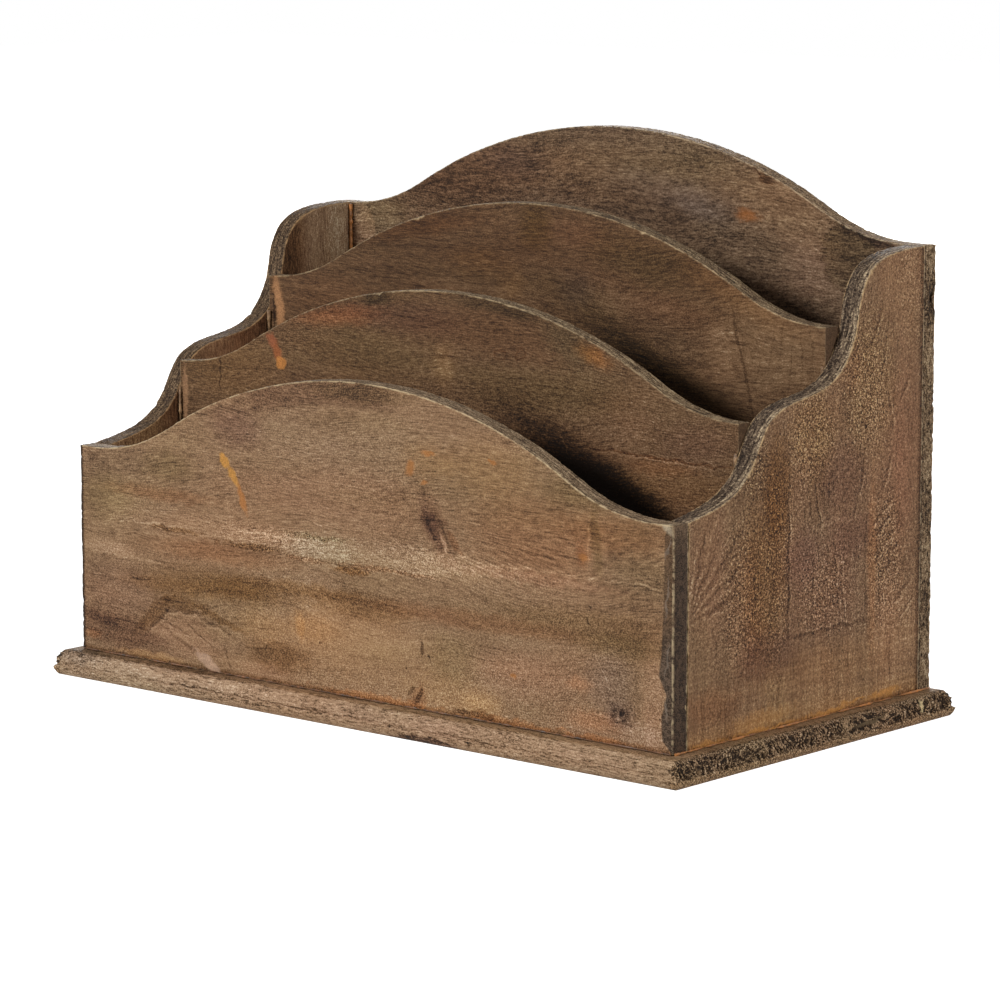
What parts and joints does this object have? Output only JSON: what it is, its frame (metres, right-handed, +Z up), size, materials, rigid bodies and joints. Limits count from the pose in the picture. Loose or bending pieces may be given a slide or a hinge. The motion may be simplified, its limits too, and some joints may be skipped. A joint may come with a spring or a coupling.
{
  "type": "letter rack",
  "caption": "Rustic wooden letter rack with arched boards, scrolled stepped sides and a moulded base, holding sorted envelopes upright.",
  "frame": {"origin": "middle of the base's underside", "axes": "+X to the right along the boards, +Y from the low front board to the tall back board, +Z up"},
  "size_m": [0.317, 0.17, 0.2165],
  "materials": {
    "front_wood": "dark stain, rubbed and waxed, worn at the edges",
    "divider_wood": "dark stain, rubbed and waxed",
    "back_wood": "dark stain, rubbed and waxed",
    "side_wood": "dark stain over rough-sawn wood",
    "base_wood": "light stain, worn moulding, rough end grain",
    "glue": "dried amber glue",
    "pin_steel": "plain wire steel"
  },
  "bodies": {
    "root": {"base_board": "base_wood", "front_board": "front_wood", "front_divider": "divider_wood", "rear_divider": "divider_wood", "back_board": "back_wood", "left_side": "side_wood", "right_side": "side_wood", "glue_foot_front": "glue", "glue_foot_back": "glue", "glue_foot_left": "glue", "glue_foot_right": "glue", "glue_front_divider_left": "glue", "glue_front_divider_right": "glue", "glue_rear_divider_left": "glue", "glue_rear_divider_right": "glue", "glue_back_corner_left": "glue", "glue_back_corner_right": "glue", "front_pins": "pin_steel", "back_pins": "pin_steel", "divider_pins": "pin_steel", "base_pins": "pin_steel"}
  },
  "joints": []
}
